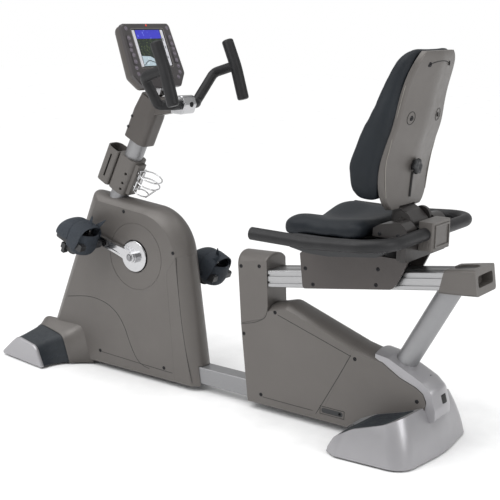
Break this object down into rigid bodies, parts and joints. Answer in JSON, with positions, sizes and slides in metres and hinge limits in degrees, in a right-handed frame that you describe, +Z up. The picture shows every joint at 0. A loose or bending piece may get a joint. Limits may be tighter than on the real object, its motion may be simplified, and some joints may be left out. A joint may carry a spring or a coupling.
{
  "type": "recumbent exercise bike",
  "caption": "Recumbent exercise bike with shrouded flywheel drive, console mast, sliding padded seat with side handles, reclining backrest and wide floor feet.",
  "frame": {"origin": "on the floor under the middle of the whole machine", "axes": "+X towards the seat end (rear), +Y to the seated rider's right, +Z up"},
  "size_m": [1.7032, 0.583, 1.1406],
  "materials": {
    "shroud": "taupe-grey satin moulded plastic, fine spark texture",
    "cover_dark": "dark slate moulded plastic",
    "cover_silver": "silver-grey moulded plastic, satin",
    "frame_silver": "silver powder coat",
    "steel": "bare machined steel",
    "aluminium": "satin anodised extrusion",
    "polished": "polished forging",
    "iron": "painted casting",
    "rubber": "black rubber",
    "foam": "black dipped foam grip",
    "black_plastic": "black moulded plastic",
    "console_shell": "dark grey moulded plastic",
    "console_face": "printed membrane, semi-gloss",
    "screen": "display behind clear lens",
    "button": "purple-grey keys",
    "vinyl": "slate blue-grey upholstery vinyl, fine grain",
    "cage_wire": "black dipped wire",
    "strap": "grey-black moulded strap",
    "screw": "black oxide screws"
  },
  "bodies": {
    "frame": {"base_frame": "frame_silver", "levelling_feet": "rubber", "drive_frame": "steel", "bearings": "steel", "mast_tube": "frame_silver", "strut_tube": "frame_silver", "seat_rail": "aluminium", "rail_end_cap": "cover_silver", "front_foot_covers": "cover_dark", "front_end_caps": "cover_silver", "rear_foot_cover": "cover_silver", "rear_foot_inserts": "cover_dark", "front_shroud_left": "shroud", "front_shroud_right": "shroud", "front_shroud_spine": "shroud", "drive_belt": "rubber", "mast_collar": "console_shell", "accessory_box": "black_plastic", "bottle_cage": "cage_wire", "mast_head_cover": "console_shell", "handlebar_clamp": "polished", "handlebar_tube": "frame_silver", "handlebar_grips": "foam", "console_back": "console_shell", "console_bezel": "console_face", "console_screen": "screen", "rear_shroud_left": "shroud", "rear_shroud_right": "shroud", "rear_tail_covers": "shroud", "power_inlet": "black_plastic", "column_cap": "shroud", "frame_screws": "screw"},
    "wheels": {"transport_wheels": "rubber"},
    "crank": {"crank_axle": "steel", "crank_arm_left": "polished", "crank_arm_right": "polished", "drive_pulley": "aluminium", "pedal_spindles": "steel"},
    "pedal_left_body": {"pedal_left": "black_plastic", "pedal_strap_left": "strap"},
    "pedal_right_body": {"pedal_right": "black_plastic", "pedal_strap_right": "strap"},
    "flywheel_body": {"flywheel": "iron"},
    "yoke": {"magnet_yoke": "steel"},
    "key_1": {"console_button_1": "button"},
    "key_2": {"console_button_2": "button"},
    "key_3": {"console_button_3": "button"},
    "key_4": {"console_button_4": "button"},
    "carriage": {"carriage_frame": "steel", "glide_pads": "black_plastic", "carriage_covers": "cover_dark", "seat_pan": "black_plastic", "seat_cushion": "vinyl", "seat_housing": "cover_dark", "seat_back_box": "cover_dark", "seat_handles": "foam"},
    "lever": {"seat_lever": "black_plastic"},
    "backrest": {"back_post": "black_plastic", "back_shell": "cover_silver", "back_cushion": "vinyl"}
  },
  "joints": [
    {"name": "wheels_roll", "type": "hinge", "parent": "frame", "child": "wheels", "pos_m": [-0.7946, 0, 0.031], "axis": [0, 1, 0], "continuous": true},
    {"name": "flywheel_spin", "type": "hinge", "parent": "frame", "child": "flywheel_body", "pos_m": [-0.3026, 0, 0.206], "axis": [0, 1, 0], "continuous": true},
    {"name": "crank_turn", "type": "hinge", "parent": "frame", "child": "crank", "pos_m": [-0.3326, 0, 0.407], "axis": [0, 1, 0], "continuous": true},
    {"name": "pedal_left_spin", "type": "hinge", "parent": "crank", "child": "pedal_left_body", "pos_m": [-0.50082, 0, 0.45524], "axis": [0, 1, 0], "continuous": true},
    {"name": "pedal_right_spin", "type": "hinge", "parent": "crank", "child": "pedal_right_body", "pos_m": [-0.16438, 0, 0.35876], "axis": [0, 1, 0], "continuous": true},
    {"name": "brake_yoke_swing", "type": "hinge", "parent": "frame", "child": "yoke", "pos_m": [-0.1606, 0, 0.15], "axis": [0, 1, 0], "range_deg": [0, 6]},
    {"name": "seat_slide", "type": "slide", "parent": "frame", "child": "carriage", "axis": [0.9893, 0, 0.1461], "range_m": [-0.11, 0.07]},
    {"name": "lever_pull", "type": "hinge", "parent": "carriage", "child": "lever", "pos_m": [0.4794, 0, 0.534], "axis": [0, 1, 0], "range_deg": [0, 14], "stiffness_Nm_per_rad": 0.6, "springref_deg": -6.88},
    {"name": "back_recline", "type": "hinge", "parent": "carriage", "child": "backrest", "pos_m": [0.6254, 0, 0.646], "axis": [0, 1, 0], "range_deg": [-3, 15]},
    {"name": "key_1_press", "type": "slide", "parent": "frame", "child": "key_1", "axis": [-0.9304, 0, -0.3665], "range_m": [0, 0.0015], "stiffness_N_per_m": 400, "springref_m": -0.0005},
    {"name": "key_2_press", "type": "slide", "parent": "frame", "child": "key_2", "axis": [-0.9304, 0, -0.3665], "range_m": [0, 0.0015], "stiffness_N_per_m": 400, "springref_m": -0.0005},
    {"name": "key_3_press", "type": "slide", "parent": "frame", "child": "key_3", "axis": [-0.9304, 0, -0.3665], "range_m": [0, 0.0015], "stiffness_N_per_m": 400, "springref_m": -0.0005},
    {"name": "key_4_press", "type": "slide", "parent": "frame", "child": "key_4", "axis": [-0.9304, 0, -0.3665], "range_m": [0, 0.0015], "stiffness_N_per_m": 400, "springref_m": -0.0005}
  ],
  "couplings": [
    {"joint": "crank_turn", "follows": "flywheel_spin", "ratio": 0.2}
  ]
}
